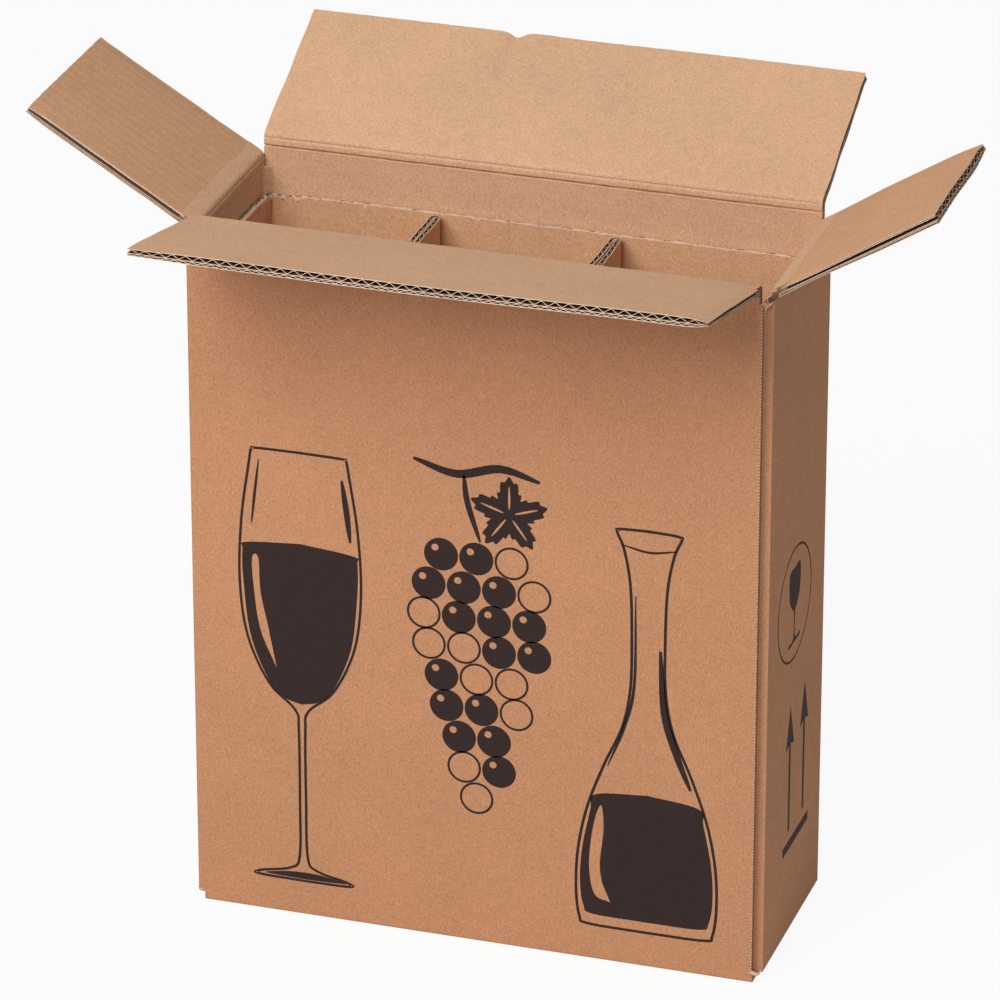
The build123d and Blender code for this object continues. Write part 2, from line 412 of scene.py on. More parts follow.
def drift(position, seed, wavelength, amount):
    """A smooth uneven line, the same at each run."""
    phases = np.random.default_rng(seed).uniform(0, TURN, 4)
    total = np.zeros_like(position, dtype=float)
    for octave, (finer, share) in enumerate(((1.0, 1.0), (1.7, 0.6), (3.1, 0.4), (5.3, 0.25))):
        total = total + amount * share * np.sin(TURN * finer * position / wavelength + phases[octave])
    return total


def flute_wave(position, pitch):
    """A flute's height, from -1 to 1: straight flanks with rounded crests."""
    sharpness = 0.93
    return np.arcsin(sharpness * np.sin(TURN * position / pitch)) / math.asin(sharpness)


def hump(value, centre, radius):
    """A rounded bump, 1 at its centre."""
    return np.exp(-(((value - centre) / radius) ** 2))


# ======================================================================
# Top flaps: outer liner, small flutes, middle liner, large flutes, inner liner
# ======================================================================
# Each mark has its place along the flap, -1 to 1, and out from the crease, 0 to 1, its two radii, and a size:
# crushes give the share of the thickness that is lost, swells the rise of the board towards its inner face.
# Folds have a place along the flap and a turn in degrees.
# Notches have a place along the flap, a radius and a depth at its tip.
FLAP_WEAR = {
    "front_flap": {
        "crushes": [(-1.0, 1.0, 26, 14, 0.3), (1.0, 1.0, 9, 16, 0.3), (1.0, 0.5, 4, 120, 0.34)],
        "swells": [(-0.1, 1.0, 90, 60, -0.8), (0.8, 1.0, 60, 50, 0.6)],
        "folds": [],
        "notches": [],
    },
    "back_flap": {
        "crushes": [(0.25, 1.0, 6, 9, 0.45)],
        "swells": [(0.25, 1.0, 5, 34, -1.5), (0.16, 1.0, 14, 30, 0.7), (-0.5, 0.8, 60, 50, 0.5)],
        "folds": [],
        "notches": [(0.25, 3.5, 1.6)],
    },
    "left_flap": {
        "crushes": [(-1.0, 0.6, 5, 60, 0.25), (1.0, 1.0, 8, 8, 0.3)],
        "swells": [(-0.6, 0.5, 18, 45, 0.5), (0.4, 1.0, 30, 40, 0.8)],
        "folds": [],
        "notches": [],
    },
    "right_flap": {
        "crushes": [(-1.0, 0.25, 4, 22, 0.35), (1.0, 1.0, 10, 9, 0.35)],
        "swells": [(-0.3, 1.0, 26, 26, 0.6)],
        "folds": [(0.42, 3.0), (0.74, -2.0)],
        "notches": [],
    },
}
CREASE_RELIEF = 0.2


def flap_place(flap, wear, edge_seed):
    """A function that turns (along, out, height) on the board into points, with the flap's wear."""
    middle = (flap.left + flap.right) / 2

    def place(along, out, height):
        u = (along - middle) / flap.half
        v = out / flap.length
        rise = np.zeros_like(along)
        for centre_u, centre_v, radius_u, radius_v, size in wear["swells"]:
            near = hump(along, middle + centre_u * flap.half, radius_u)
            rise = rise + size * near * hump(out, centre_v * flap.length, radius_v)
        for line, slope in wear["folds"]:
            past = np.maximum(0, along - middle - line * flap.half)
            rise = rise + math.radians(slope) * (np.sqrt(past**2 + 4) - 2) * np.clip(v * 3, 0, 1)
        kept = np.ones_like(along)
        for centre_u, centre_v, radius_u, radius_v, lost in wear["crushes"]:
            near = hump(along, middle + centre_u * flap.half, radius_u)
            kept = kept - lost * near * hump(out, centre_v * flap.length, radius_v)
        height = flap.board / 2 + (height - flap.board / 2) * kept
        ragged = drift(out, edge_seed, 9.0, 0.16) * np.sign(u) * np.abs(u) ** 40
        ragged = np.clip(ragged, -0.4, 0.3)
        return (
            flap.crease
            + (along + ragged)[..., None] * flap.along
            + out[..., None] * flap.reach
            + (height + rise * np.clip(v * 2.5, 0, 1))[..., None] * flap.through
        )

    return place


def add_flap(flap):
    """The flap's five papers, as separate sheets."""
    wear = FLAP_WEAR[flap.node]
    stack = Stack()
    depths = np.array([0, 0.03, 0.1, 0.22, 0.36, 0.5, 0.64, 0.78, 0.88, 0.95, 0.985, 1.0])

    def layer(seed, steps, middle_height, half_height, materials):
        along = np.linspace(flap.left, flap.right, steps)
        tip = flap.length + np.clip(drift(along, seed, 13.0, 0.12), -0.35, 0.0)
        for centre, radius, depth in wear["notches"]:
            tip = tip - depth * hump(along, (flap.left + flap.right) / 2 + centre * flap.half, radius)
        start = CREASE_RELIEF + np.clip(middle_height, 0, flap.board)
        out = start[:, None] + (tip - start)[:, None] * depths[None, :]
        along = np.repeat(along[:, None], len(depths), axis=1)
        heights = np.repeat(middle_height[:, None], len(depths), axis=1)
        place = flap_place(flap, wear, seed)
        upper = place(along, out, heights + half_height)
        lower = place(along, out, heights - half_height)
        stack.sheet(upper, lower, *materials)

    def wave(steps, low, high, pitch, phase):
        along = np.linspace(flap.left, flap.right, steps)
        return (low + high) / 2 + (high - low) / 2 * flute_wave(along + phase, pitch)

    def flat(steps, height):
        return np.full(steps, height)

    width = flap.right - flap.left
    liner_steps = int(width / LINER_STEP)
    large_steps = int(width / LARGE_PITCH * LARGE_STEPS)
    small_steps = int(width / SMALL_PITCH * SMALL_STEPS)
    half = MEDIUM / 2
    # the flute material paints shade on the flutes and on the liners' faces inside the board
    materials = [OUTER_X, INNER_X, OUTER_Y, INNER_Y, EDGE, FLUTES_WITH_PAINTED_SHADE]
    outer, inner = (0, 1) if abs(flap.along[0]) > 0.5 else (2, 3)
    edge, flutes = 4, 5
    layer(11, liner_steps, flat(liner_steps, LINER / 2), LINER / 2, (flutes, outer, edge))
    small = wave(small_steps, LINER + half, MIDDLE_LINER - LINER / 2 - half, SMALL_PITCH, SMALL_PHASE)
    layer(12, small_steps, small, half, (flutes, flutes, edge))
    layer(13, liner_steps, flat(liner_steps, MIDDLE_LINER), LINER / 2, (flutes, flutes, edge))
    lowest, highest = MIDDLE_LINER + LINER / 2 + half, flap.board - LINER - half
    large = wave(large_steps, lowest, highest, LARGE_PITCH, LARGE_PHASE)
    layer(14, large_steps, large, half, (flutes, flutes, edge))
    layer(15, liner_steps, flat(liner_steps, flap.board - LINER / 2), LINER / 2, (inner, flutes, edge))
    piece = stack.build(flap.node + "_board", materials, body=flap.node)
    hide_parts(flap.node)


for flap in FLAPS.values():
    add_flap(flap)


# ======================================================================
# Creases: the crushed board between a wall and its flap, with the bead of the inner liner
# ======================================================================
BEAD_LOW = 6.6  # the bead's two edges, below the corner where the inner faces meet
BEAD_HIGH = 2.2
GROOVE = 1.1
BEAD_RISE = 0.6
BEAD_FADE = 14  # from the flap's end, along the crease
OVERLAP = 2.5  # how far the crease lies over the flap and the wall
PROUD = 0.09
CREASE_STEP = 2.5


def smooth_line(corners, per_span=5):
    """A smooth line through its corners."""
    corners = np.array(corners, float)
    padded = np.vstack([2 * corners[0] - corners[1], corners, 2 * corners[-1] - corners[-2]])
    points = []
    for p0, p1, p2, p3 in zip(padded, padded[1:], padded[2:], padded[3:]):
        for t in np.linspace(0, 1, per_span, endpoint=False):
            points.append(
                0.5 * (2 * p1 + (p2 - p0) * t + (2 * p0 - 5 * p1 + 4 * p2 - p3) * t * t
                       + (3 * p1 - p0 - 3 * p2 + p3) * t**3)
            )
    points.append(corners[-1])
    return np.array(points)


def add_crease(flap, strength, fades):
    """strength is the bead's height as a share, and fades how much of it is lost at each end, 0 to 1."""
    outward = np.array([1.0, 0.0])
    up = np.array([0.0, 1.0])
    reach = np.array([math.sin(flap.opening), math.cos(flap.opening)])
    through = np.array([-math.cos(flap.opening), math.sin(flap.opening)])
    board = flap.board
    corner = np.array([-board, board * math.tan(flap.opening / 2)])

    def inner_line(bead):
        rise = BEAD_RISE * bead
        return smooth_line(
            [
                -outward * (board + PROUD / 3) - up * (board + OVERLAP),
                -outward * (board + PROUD) - up * board,
                corner - up * (BEAD_LOW + 0.8) - outward * PROUD,
                corner - up * BEAD_LOW + outward * GROOVE * bead,
                corner - up * (BEAD_LOW - 0.8) - outward * 0.8 * rise,
                corner - up * (BEAD_LOW + BEAD_HIGH) / 2 - outward * rise,
                corner - up * (BEAD_HIGH + 0.6) - outward * 0.6 * rise,
                corner - up * BEAD_HIGH + outward * (0.1 + 0.35 * bead),
                corner - up * (BEAD_HIGH - 0.9) + outward * 0.2,
                corner + reach * 0.8 - through * 0.25,
                corner + reach * 2.6 + through * PROUD * 0.6,
                reach * board + through * (board + PROUD),
                reach * (board + OVERLAP) + through * (board + PROUD / 3),
            ]
        )

    outer_line = smooth_line(
        [
            reach * (board + OVERLAP) - through * PROUD / 3,
            reach * 2.2 - through * PROUD,
            reach * 0.5 - through * 0.35 + outward * 0.1,
            -up * 0.5 + outward * 0.35,
            -up * 2.2 + outward * PROUD,
            -up * (board + OVERLAP) + outward * PROUD / 3,
        ],
        4,
    )
    steps = int((flap.right - flap.left) / CREASE_STEP)
    along = np.linspace(flap.left + 0.1, flap.right - 0.1, steps)
    rows = []
    for position in along:
        near_left = math.exp(-(position - flap.left) / BEAD_FADE)
        near_right = math.exp(-(flap.right - position) / BEAD_FADE)
        bead = strength - fades[0] * near_left - fades[1] * near_right
        bead = bead * (1 + 0.12 * float(drift(np.array(position), 31, 23.0, 1.0)))
        section = np.vstack([inner_line(bead), outer_line])
        section[:, 1] += float(drift(np.array(position), 33, 60.0, 0.06))
        rows.append(
            flap.crease + position * flap.along
            + section[:, :1] * flap.outward + section[:, 1:] * UP
        )
    points = np.array(rows)
    around = points.shape[1]
    inner_count = len(inner_line(1.0))
    index = np.arange(steps * around).reshape(steps, around)
    after = np.roll(index, -1, axis=1)
    faces = np.stack([index[:-1], after[:-1], after[1:], index[1:]], axis=-1).reshape(-1, 4).tolist()
    kinds = [0 if column < inner_count - 1 else 1 for column in range(around)] * (steps - 1)
    faces += [index[0].tolist(), index[-1][::-1].tolist()]
    kinds += [2, 2]
    # the crease's two end faces take the flute paper, darkened as painted shade
    materials = [PLAIN_INSIDE, PLAIN_OUTSIDE, FLUTES_WITH_PAINTED_SHADE]
    piece = add_mesh(flap.node + "_crease", points.reshape(-1, 3), faces, materials, kinds, body=None)
    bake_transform(piece)


add_crease(FLAPS["front_flap"], 0.8, (0.3, 0.3))
add_crease(FLAPS["back_flap"], 1.0, (0.8, 0.2))
add_crease(FLAPS["left_flap"], 0.5, (0.2, 0.2))
add_crease(FLAPS["right_flap"], 0.5, (0.3, 0.3))


# ======================================================================
# The insert: one folded sheet of single-wall board
# ======================================================================
def round_path(corners, radii, step):
    """Evenly spaced points along straight runs joined by arcs."""
    points = [np.array(corners[0], float)]
    for before, corner, after, radius in zip(corners, corners[1:], corners[2:], radii):
        corner = np.array(corner, float)
        back = np.array(before, float) - corner
        ahead = np.array(after, float) - corner
        back, ahead = back / np.linalg.norm(back), ahead / np.linalg.norm(ahead)
        half_turn = (math.pi - math.acos(np.clip(back @ ahead, -1, 1))) / 2
        tangent = radius * math.tan(half_turn)
        start, end = corner + back * tangent, corner + ahead * tangent
        centre = corner + (back + ahead) / np.linalg.norm(back + ahead) * radius / math.cos(half_turn)
        for t in np.linspace(0, 1, 9):
            spoke = (start - centre) * (1 - t) + (end - centre) * t
            points.append(centre + spoke / np.linalg.norm(spoke) * radius)
    points.append(np.array(corners[-1], float))
    points = np.array(points)
    lengths = np.concatenate([[0], np.cumsum(np.linalg.norm(np.diff(points, axis=0), axis=1))])
    even = np.linspace(0, lengths[-1], int(lengths[-1] / step))
    line = np.stack([np.interp(even, lengths, points[:, k]) for k in (0, 1)], axis=1)
    ahead = np.gradient(line, axis=0)
    ahead /= np.linalg.norm(ahead, axis=1)[:, None]
    return even, line, np.stack([-ahead[:, 1], ahead[:, 0]], axis=1)


WALL_CORNER = 2.6  # radii of the insert's folds, at the middle of its board
DIVIDER_MOUTH = 1.5
SEAM_GAP = 0.5  # between the back wall and the end of the front panel that lies on it
DIVIDER_SHORT = 2.0  # how far a divider's fold stops in front of the seam
FOLD_SPACE = 0.2  # half the space between a divider's two sheets
MOUTH_SPREADS = (5.0, 0.8)  # how far each divider's sheets stand apart at the front
NICK_PITCH = 17.6


def add_insert():
    """The folded sheet's three papers, its pressed tops, and one doubled fold for each divider."""
    half = INSERT_BOARD / 2
    left, front = INSERT_LOW[0] + half, INSERT_LOW[1] + half
    right, back = INSERT_HIGH[0] - half, INSERT_HIGH[1] - half
    seam = back - INSERT_BOARD - SEAM_GAP
    fold = seam - DIVIDER_SHORT
    fold_half = half + FOLD_SPACE
    corners, radii = [(right, seam), (right, front)], [WALL_CORNER]
    cells = ("right_cell", "middle_cell", "left_cell")
    for near, far, spread in zip(cells, cells[1:], MOUTH_SPREADS):
        middle = (OPENINGS[near][0][0] + OPENINGS[far][1][0]) / 2
        mouth = half + spread / 2
        corners += [(middle + mouth, front), (middle + fold_half, fold)]
        corners += [(middle - fold_half, fold), (middle - mouth, front)]
        radii += [DIVIDER_MOUTH, fold_half, fold_half, DIVIDER_MOUTH]
    corners += [(left, front), (left, back), (right, back)]
    radii += [WALL_CORNER, WALL_CORNER]
    top, bottom = INSERT_HIGH[2], INSERT_LOW[2]
    whole_sheet = (corners, radii, np.array([top - bottom, 240, 130, 70, 36, 18, 9, 4, 1.5, 0.0]))
    outer_tops = ([(left, front + 20), (left, back), (right, back)], [WALL_CORNER], np.array([1.6, 0.8, 0.0]))
    stack = Stack()

    def layer(seed, stretch, step, offset, half_height, materials, lowered=0.0):
        corners, radii, drops = stretch
        length, line, normal = round_path(corners, radii, step)
        edge = np.clip(drift(length, seed, 14.0, 0.22), -0.9, 0.0)
        # short ties along the back wall's top leave nicks
        at_back = line[:, 1] > back - 1
        nick = np.where(at_back, -0.7 * (np.cos(TURN * line[:, 0] / NICK_PITCH) > 0.96), 0)
        crumple = hump(line[:, 0], left + 6, 14) * hump(line[:, 1], back, 12)
        edge = edge + nick - 2.6 * crumple * (0.6 + 0.4 * np.sin(length * 1.1))
        heights = top - lowered - drops[None, :]
        share = np.clip(1 - drops / 30, 0, 1)
        heights = heights + edge[:, None] * share[None, :]
        sway = drift(length, 52, 55.0, 0.22)[:, None] * np.clip(1 - drops / 90, 0, 1)[None, :]
        sway = sway + (crumple * 1.1 * np.sin(length * 0.8))[:, None] * share[None, :]
        side = offset(length)[:, None] + np.zeros_like(heights)

        def place(extra):
            across = side + extra + sway
            flat = line[:, None, :] + normal[:, None, :] * across[..., None]
            return np.concatenate([flat, heights[..., None]], axis=-1)

        stack.sheet(place(half_height), place(-half_height), *materials)

    face = half - INSERT_LINER / 2
    crest = half - INSERT_LINER - MEDIUM / 2
    # the insert's flutes take the flute paper, darkened as painted shade
    paper, edge_paper, flutes = 0, 1, 2

    def flute_middle(s):
        return crest * flute_wave(s, INSERT_PITCH)

    layer(21, whole_sheet, 1.6, lambda s: np.full_like(s, face), INSERT_LINER / 2, (paper, flutes, edge_paper))
    layer(22, whole_sheet, 0.62, flute_middle, MEDIUM / 2, (flutes, flutes, edge_paper), lowered=0.7)
    layer(23, whole_sheet, 1.6, lambda s: np.full_like(s, -face), INSERT_LINER / 2, (flutes, paper, edge_paper))
    # the tops of the outer walls are crushed shut
    layer(24, outer_tops, 1.2, lambda s: drift(s, 25, 9.0, 0.12), half * 0.72, (edge_paper,) * 3, lowered=0.15)
    piece = stack.build("insert_board", [INSERT_PAPER, EDGE, FLUTES_WITH_PAINTED_SHADE], slot="insert_board")
    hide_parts("bottle_insert")


add_insert()

# ======================================================================
# The carton's body: material, and its torn and crushed edges
# ======================================================================
body_node = frame["nodes"]["carton_body"]
if not body_node.material_slots:
    body_node.data.materials.append(BODY_PAPER)
for slot in body_node.material_slots:
    slot.material = BODY_PAPER


def ribbon(name, corners, across, thickness, materials, rows=6, body=CARTON, wander=0.0):
    """A narrow strip of paper: a line through its corners, spread along a vector."""
    line = smooth_line(corners, 6)
    ahead = np.gradient(line, axis=0)
    normal = np.cross(ahead, np.array(across, float))
    normal /= np.linalg.norm(normal, axis=1)[:, None]
    shares = np.linspace(0, 1, rows)
    middle = line[:, None, :] + shares[None, :, None] * np.array(across, float)[None, None, :]
    if wander:
        uneven = drift(shares * np.linalg.norm(across), 71, 4.0, wander)
        middle = middle + normal[:, None, :] * uneven[None, :, None]
    stack = Stack()
    lift = normal[:, None, :] * thickness / 2
    stack.sheet(middle + lift, middle - lift, 0, 0, 1)
    return stack.build(name, materials, body=body)


CUT_EDGE_ENDS = 6  # how far the ragged edge stops from the bottom and from the crease


def add_front_cut_edge():
    """The front panel's cut edge beside the glued corner: ragged papers with a row of pale teeth."""
    edge_x = FLAPS["front_flap"].crease[0] + FLAPS["front_flap"].right + 1.0
    low, high = BODY_LOW[2] + CUT_EDGE_ENDS, FLAPS["front_flap"].crease[2] - CUT_EDGE_ENDS
    heights = np.arange(low, high, TOOTH_PITCH / 4)
    across = np.array([0, 0.06, 0.12, 0.2, 0.3, 0.36, 0.42, 0.6, 0.8, 0.93, 1.0])
    paper = np.maximum.reduce([hump(across, 0.03, 0.06), hump(across, 0.37, 0.05), hump(across, 0.97, 0.05)])
    tooth = 0.5 + 0.5 * np.sin(TURN * heights / TOOTH_PITCH)
    depth = 0.12 + 0.42 * tooth[:, None] * hump(across, 0.03, 0.07)[None, :] + 0.25 * paper[None, :]
    depth = depth + np.clip(drift(heights, 81, 7.0, 0.07), -0.1, 0.2)[:, None] * paper[None, :]
    y = -HALF_DEPTH + 0.02 + across * (BOARD - 0.1)
    points = np.zeros((len(heights), len(across), 3))
    points[..., 0] = edge_x + depth
    points[..., 1] = y[None, :]
    points[..., 2] = heights[:, None]
    behind = points.copy()
    behind[..., 0] = edge_x - 0.1
    stack = Stack()
    stack.sheet(points, behind, 0, 1, 0)
    # its material paints brown shade between the pale teeth, and the sheet's back takes the flute paper,
    # darkened as painted shade
    stack.build("front_cut_edge", [TEETH_AND_PAINTED_SHADE, FLUTES_WITH_PAINTED_SHADE])


add_front_cut_edge()

corner_x = HALF_WIDTH - 5.5
crease_top = FLAPS["front_flap"].crease[2]
ribbon(
    "curled_inner_liner",
    [
        (corner_x + 0.6, -HALF_DEPTH + 0.6, crease_top - 7),
        (corner_x + 1.2, -HALF_DEPTH + 0.8, crease_top - 2),
        (corner_x + 3.6, -HALF_DEPTH + 1.6, crease_top - 0.5),
        (corner_x + 4.2, -HALF_DEPTH + 3.0, crease_top + 1.8),
        (corner_x + 5.6, -HALF_DEPTH + 4.4, crease_top + 1.2),
    ],
    (0.6, 3.6, -0.4), 0.3, [PLAIN_INSIDE, EDGE], wander=0.25,
)
ribbon(
    "crushed_web",
    [
        (corner_x - 0.6, -HALF_DEPTH + 0.2, crease_top - 5.5),
        (corner_x + 1.6, -HALF_DEPTH + 0.5, crease_top - 4.2),
        (corner_x + 3.0, -HALF_DEPTH + 0.6, crease_top - 5.6),
        (corner_x + 4.6, -HALF_DEPTH + 1.4, crease_top - 4.4),
    ],
    (0.2, 4.6, -0.6), 0.35, [PLAIN_INSIDE, EDGE], wander=0.35,
)
ribbon(
    "bottom_left_curl",
    [
        (-HALF_WIDTH + 0.3, -HALF_DEPTH + 0.4, 7.6),
        (-HALF_WIDTH + 1.6, -HALF_DEPTH - 0.2, 6.6),
        (-HALF_WIDTH + 3.6, -HALF_DEPTH + 0.1, 6.9),
    ],
    (0.3, 0.5, -1.2), 0.3, [EDGE, EDGE],
)
ribbon(
    "bottom_right_curl",
    [
        (corner_x - 2.0, -HALF_DEPTH + 0.2, 6.6),
        (corner_x + 1.2, -HALF_DEPTH - 0.1, 5.4),
        (corner_x + 3.4, -HALF_DEPTH + 1.2, 4.2),
        (corner_x + 4.6, -HALF_DEPTH + 3.4, 4.9),
    ],
    (0.1, 0.9, 1.6), 0.3, [EDGE, EDGE],
)


# ======================================================================
# Print: fields of ink, drawn in the plane of a panel as (across, height)
# ======================================================================
INK_RISE = 0.05
INK_DEPTH = INK_RISE * 0.4
GLASS_LINE = 1.5  # widths of the ink's lines
CARAFE_LINE = 1.6
GRAPE_LINE = 1.3
RING_LINE = 1.3


def loop_area(loop):
    """A loop's area, positive where it runs anticlockwise."""
    x, y = np.array(loop).T
    return 0.5 * float(np.sum(x * np.roll(y, -1) - np.roll(x, -1) * y))


def inset(loop, distance):
    """The loop moved inwards by a distance. The loop runs anticlockwise."""
    points = np.array(loop, float)
    ahead = np.roll(points, -1, axis=0) - np.roll(points, 1, axis=0)
    ahead /= np.linalg.norm(ahead, axis=1)[:, None] + 1e-9
    return points + np.stack([-ahead[:, 1], ahead[:, 0]], axis=1) * distance


def silhouette(outline, centre, base, per_span=7):
    """A closed loop from a symmetric outline, given as (half width, height) from the bottom up."""
    line = smooth_line(outline, per_span)
    right = np.stack([centre + line[:, 0], base + line[:, 1]], axis=1)
    left = np.stack([centre - line[::-1, 0], base + line[::-1, 1]], axis=1)
    return np.vstack([right, left])


def stroke(loop, width):
    """A closed line of ink along a loop, inside it."""
    if loop_area(loop) < 0:
        loop = loop[::-1]
    return [loop, inset(loop, width)[::-1]]


def line_of_ink(corners, width, per_span=6):
    """An open line of ink through its corners, thin at both ends."""
    line = smooth_line(corners, per_span)
    ahead = np.gradient(line, axis=0)
    ahead /= np.linalg.norm(ahead, axis=1)[:, None] + 1e-9
    side = np.stack([-ahead[:, 1], ahead[:, 0]], axis=1)
    swell = np.sin(np.linspace(0.12, math.pi - 0.12, len(line))) ** 0.5
    half = side * (width / 2 * swell)[:, None]
    return [np.vstack([line - half, (line + half)[::-1]])]


def disc(x, y, radius, steps=36):
    """A round loop, anticlockwise."""
    angle = np.linspace(0, TURN, steps, endpoint=False)
    return np.stack([x + radius * np.cos(angle), y + radius * np.sin(angle)], axis=1)


def add_print(name, shapes, to_panel, normal):
    """Each shape is a list of loops: its outline, then its holes."""
    points, faces = [], []
    normal = np.array(normal, float)
    for loops in shapes:
        flat = [[Vector((float(x), float(y), 0.0)) for x, y in loop] for loop in loops]
        triangles = tessellate_polygon(flat)
        start = len(points)
        ring = [to_panel(x, y) for loop in loops for x, y in loop]
        count = len(ring)
        points += [np.array(point) + normal * INK_RISE for point in ring]
        points += [np.array(point) - normal * INK_DEPTH for point in ring]
        faces += [[start + i for i in triangle] for triangle in triangles]
        faces += [[start + count + i for i in triangle][::-1] for triangle in triangles]
        first = start
        for loop in loops:
            size = len(loop)
            for i in range(size):
                j = (i + 1) % size
                faces.append([first + i, first + j, first + count + j, first + count + i])
            first += size
    return add_mesh(name, points, faces, [INK])


def on_front(x, z):
    return (x, -HALF_DEPTH, z)


def on_right(y, z):
    return (HALF_WIDTH, y, z)


GROUND = 20.0


def stemmed_glass(x, base):
    """A tall glass, two thirds full."""
    outline = [
        (0.0, 0.0), (24, 0.4), (29, 2.0), (24, 4.6), (8, 8.5), (3.0, 16), (2.5, 50), (2.6, 92), (4.5, 104),
        (19, 118), (31, 145), (35, 178), (33.5, 214), (29, 246), (27.2, 256), (24, 257.2), (0.0, 257.6),
    ]
    bowl = silhouette(outline, x, base)
    shapes = [stroke(bowl, GLASS_LINE)]
    wine = [
        (0.0, 108), (10, 111), (19, 121), (28.6, 146), (32.2, 178), (32.4, 196), (30.0, 200.5), (0.0, 203.5),
    ]
    level = silhouette(wine, x, base)
    gleam = smooth_line(
        [(-14, 128), (-23, 150), (-26.5, 176), (-27, 192), (-23.5, 192), (-22.5, 172), (-18, 150)]
    )
    gleam = gleam[:-1] + np.array([x, base])
    shapes.append([level, gleam])
    shapes.append(line_of_ink([(x - 27, base + 212), (x - 25, base + 230), (x - 22.5, base + 250)], 1.6))
    shapes.append(line_of_ink([(x + 28.5, base + 208), (x + 26.5, base + 226), (x + 24, base + 244)], 3.4))
    shapes.append([silhouette([(0, 1.8), (18, 2.2), (23, 3.0), (10, 5.4), (0, 6)], x + 1, base)])
    return shapes


def carafe(x, base):
    """A wide carafe with a narrow neck and a flared lip."""
    outline = [
        (0.0, 0.0), (33, 0.6), (38, 5), (40, 22), (39, 46), (34, 72), (25, 98), (15, 122), (10.5, 146),
        (10, 178), (11, 206), (14.5, 226), (18.5, 236), (16.5, 238.6), (0.0, 239.4),
    ]
    shapes = [stroke(silhouette(outline, x, base), CARAFE_LINE)]
    wine = [(0, 7), (30, 7.6), (35, 12), (37, 26), (36, 46), (31.5, 70), (28.4, 80), (0, 83.5)]
    level = silhouette(wine, x, base)
    gleam = smooth_line(
        [(-20, 16), (-29, 20), (-32, 38), (-29.6, 62), (-25.5, 74), (-24, 60), (-26, 38), (-24, 24)]
    )
    gleam = gleam[:-1] + np.array([x, base])
    shapes.append([level, gleam])
    left_side = [(x - 22, base + 98), (x - 13, base + 122), (x - 7.6, base + 148), (x - 7.2, base + 200)]
    right_side = [(x + 24, base + 90), (x + 16, base + 110), (x + 9, base + 134), (x + 6.6, base + 170)]
    shapes.append(line_of_ink(left_side, 1.8))
    shapes.append(line_of_ink(right_side, 4.2))
    shapes.append(line_of_ink([(x - 15, base + 229), (x, base + 226.4), (x + 15, base + 229)], 1.4))
    return shapes


def grapes(x, top):
    """A hanging bunch of round grapes with one leaf, on a short piece of vine."""
    shapes = []
    radius = 10.2
    rows = (3, 4, 4, 4, 3, 3, 2, 2, 1)
    for row, count in enumerate(rows):
        for column in range(count):
            centre_x = x + (column - (count - 1) / 2) * radius * 1.92 + (1.6 if row % 2 else -1.2)
            centre_y = top - 52 - row * radius * 1.74
            berry = disc(centre_x, centre_y, radius * 0.93)
            dark = (row * 3 + column * 2) % 5 not in (1, 4)
            if dark:
                gleam = disc(centre_x - radius * 0.33, centre_y + radius * 0.36, radius * 0.2, 14)
                shapes.append([berry, gleam[::-1]])
            else:
                shapes.append(stroke(berry, GRAPE_LINE))
    shapes.append(line_of_ink([(x - 36, top + 2), (x - 12, top - 4), (x + 12, top + 2), (x + 34, top - 3)], 5.0))
    shapes.append(line_of_ink([(x - 8, top - 4), (x - 6, top - 20), (x + 1, top - 42)], 3.4))
    middle = np.array([x + 17, top - 24])
    angle = np.linspace(0, TURN, 150, endpoint=False)
    lobes = 16.5 + 4.6 * np.cos(5 * angle) + 1.2 * np.cos(25 * angle)
    leaf = middle + np.stack([lobes * np.sin(angle), lobes * np.cos(angle)], axis=1)
    veins = []
    for turn in range(5):
        heading = TURN * turn / 5
        tip = np.array([math.sin(heading), math.cos(heading)])
        veins += line_of_ink([middle + tip * 3.4, middle + tip * 9, middle + tip * 16.5], 1.3)
    shapes.append([leaf[::-1], *veins])
    return shapes


add_print("front_print_glass", stemmed_glass(-98, GROUND), on_front, (0, -1, 0))
add_print("front_print_grapes", grapes(2, 281), on_front, (0, -1, 0))
add_print("front_print_carafe", carafe(96, GROUND), on_front, (0, -1, 0))

# ---- handling marks on the right panel: a glass in a ring, and two arrows up ----
RING = (-3.0, 201.0, 33.0)


def fragile_mark():
    """A stemmed glass in a ring."""
    y, z, radius = RING
    ring = [disc(y, z, radius, 72), disc(y, z, radius - RING_LINE, 72)[::-1]]
    outline = [
        (0.0, -22), (10.5, -22), (10.5, -20), (1.6, -19), (1.3, -4),
        (4, -1.5), (9.6, 5), (11, 14), (9.4, 22), (0.0, 22.2),
    ]
    return [ring, [silhouette(outline, y, z - 1, 4)]]


ARROW_BAR = (-18, 55, 32, 60.5)
ARROW_FOOT = 67
ARROWS = ((-7.0, 142.0), (21.0, 144.0))  # the middle and the tip of each


def up_arrows():
    """Two arrows up, over a bar."""
    left, low, right, high = ARROW_BAR
    shapes = [[np.array([(left, low), (right, low), (right, high), (left, high)], float)]]
    for centre, tip in ARROWS:
        shaft, barb, neck = 1.7, tip - 25, tip - 23
        outline = [
            (centre - shaft, ARROW_FOOT), (centre + shaft, ARROW_FOOT), (centre + shaft, neck),
            (centre + 8, barb), (centre, tip), (centre - 8, barb), (centre - shaft, neck),
        ]
        shapes.append([np.array(outline, float)])
    return shapes


add_print("side_print_fragile", fragile_mark(), on_right, (1, 0, 0))
add_print("side_print_arrows", up_arrows(), on_right, (1, 0, 0))


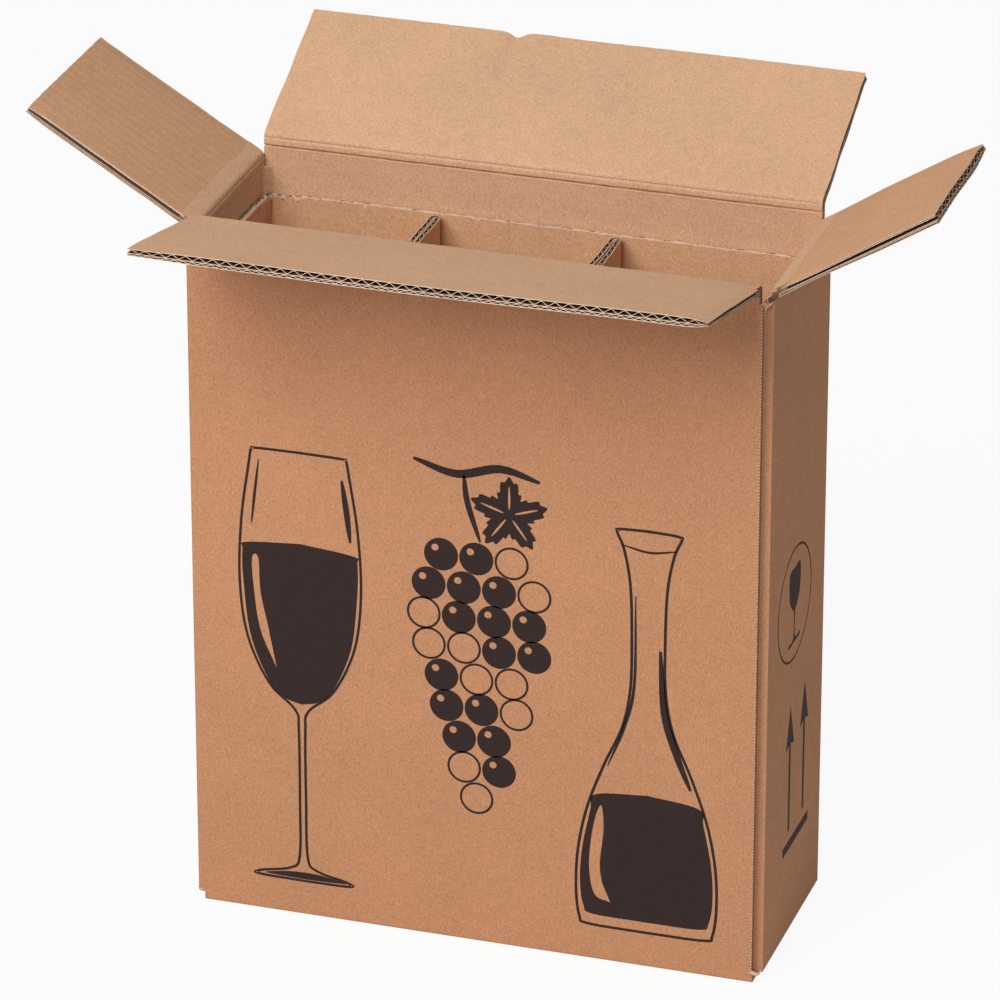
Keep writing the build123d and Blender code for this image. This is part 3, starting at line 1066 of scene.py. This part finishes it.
# ======================================================================
# Floor, light and camera
# ======================================================================
FLOOR_GREY = 0.78
FLOOR_WHITE = 0.93  # the share of plain white in what the camera sees of the floor
AMBIENT = 0.3
CAMERA_AZIMUTH = 17.8
CAMERA_ELEVATION = 24.94
CAMERA_DISTANCE = 3743.3
CAMERA_TARGET = (-5.0, 0.0, 236.4)


def add_floor():
    """A pale floor that keeps the object's shadow."""
    bpy.ops.mesh.primitive_plane_add(size=12.0, location=(0, 0, -0.0003))
    floor = bpy.context.object
    floor.name = "floor"
    nodes = Nodes("pale_floor")
    diffuse = nodes.add("ShaderNodeBsdfDiffuse", {"Color": (FLOOR_GREY, FLOOR_GREY, FLOOR_GREY, 1)}).outputs[0]
    white = nodes.add("ShaderNodeEmission", {"Color": (1, 1, 1, 1), "Strength": 1.0}).outputs[0]
    path = nodes.add("ShaderNodeLightPath").outputs
    seen = nodes.math("MAXIMUM", path["Is Camera Ray"], path["Is Glossy Ray"])
    seen = nodes.math("MULTIPLY", seen, FLOOR_WHITE)
    shader = nodes.add("ShaderNodeMixShader", {0: seen, 1: diffuse, 2: white})
    nodes.tree.links.new(shader.outputs[0], nodes.output.inputs[0])
    floor.data.materials.append(nodes.material)


def add_world():
    """Soft light all round, and plain white wherever the camera sees past the floor."""
    world = bpy.data.worlds.new("studio")
    scene.world = world
    world.use_nodes = True
    tree = world.node_tree
    tree.nodes.clear()
    output = tree.nodes.new("ShaderNodeOutputWorld")
    ambient = tree.nodes.new("ShaderNodeBackground")
    ambient.inputs[0].default_value = (1.0, 1.0, 1.0, 1)
    ambient.inputs[1].default_value = AMBIENT
    white = tree.nodes.new("ShaderNodeBackground")
    white.inputs[0].default_value = (1, 1, 1, 1)
    white.inputs[1].default_value = 1.0
    path = tree.nodes.new("ShaderNodeLightPath")
    seen = tree.nodes.new("ShaderNodeMath")
    seen.operation = "MAXIMUM"
    tree.links.new(path.outputs["Is Camera Ray"], seen.inputs[0])
    tree.links.new(path.outputs["Is Glossy Ray"], seen.inputs[1])
    either = tree.nodes.new("ShaderNodeMath")
    either.operation = "MAXIMUM"
    tree.links.new(seen.outputs[0], either.inputs[0])
    tree.links.new(path.outputs["Is Transmission Ray"], either.inputs[1])
    mix = tree.nodes.new("ShaderNodeMixShader")
    tree.links.new(either.outputs[0], mix.inputs[0])
    tree.links.new(ambient.outputs[0], mix.inputs[1])
    tree.links.new(white.outputs[0], mix.inputs[2])
    tree.links.new(mix.outputs[0], output.inputs[0])


def add_lamp(name, place, aim, size, power):
    data = bpy.data.lights.new(name, "AREA")
    data.shape = "SQUARE"
    data.size = size
    data.energy = power
    lamp = bpy.data.objects.new(name, data)
    scene.collection.objects.link(lamp)
    lamp.location = place
    lamp.rotation_euler = (Vector(aim) - Vector(place)).to_track_quat("-Z", "Y").to_euler()


def add_camera():
    azimuth, elevation = math.radians(CAMERA_AZIMUTH), math.radians(CAMERA_ELEVATION)
    target = Vector(CAMERA_TARGET) * MM
    back = Vector(
        (math.sin(azimuth) * math.cos(elevation), -math.cos(azimuth) * math.cos(elevation), math.sin(elevation))
    )
    data = bpy.data.cameras.new("camera")
    data.sensor_width = 36.0
    data.lens = 252.0
    camera = bpy.data.objects.new("camera", data)
    scene.collection.objects.link(camera)
    camera.location = target + back * (CAMERA_DISTANCE * MM)
    camera.rotation_euler = (-back).to_track_quat("-Z", "Y").to_euler()
    scene.camera = camera


add_floor()
add_world()
add_lamp("key", (-0.55, -2.1, 2.3), (0, 0, 0.25), 1.9, 76)
add_camera()
scene.view_settings.view_transform = "Standard"
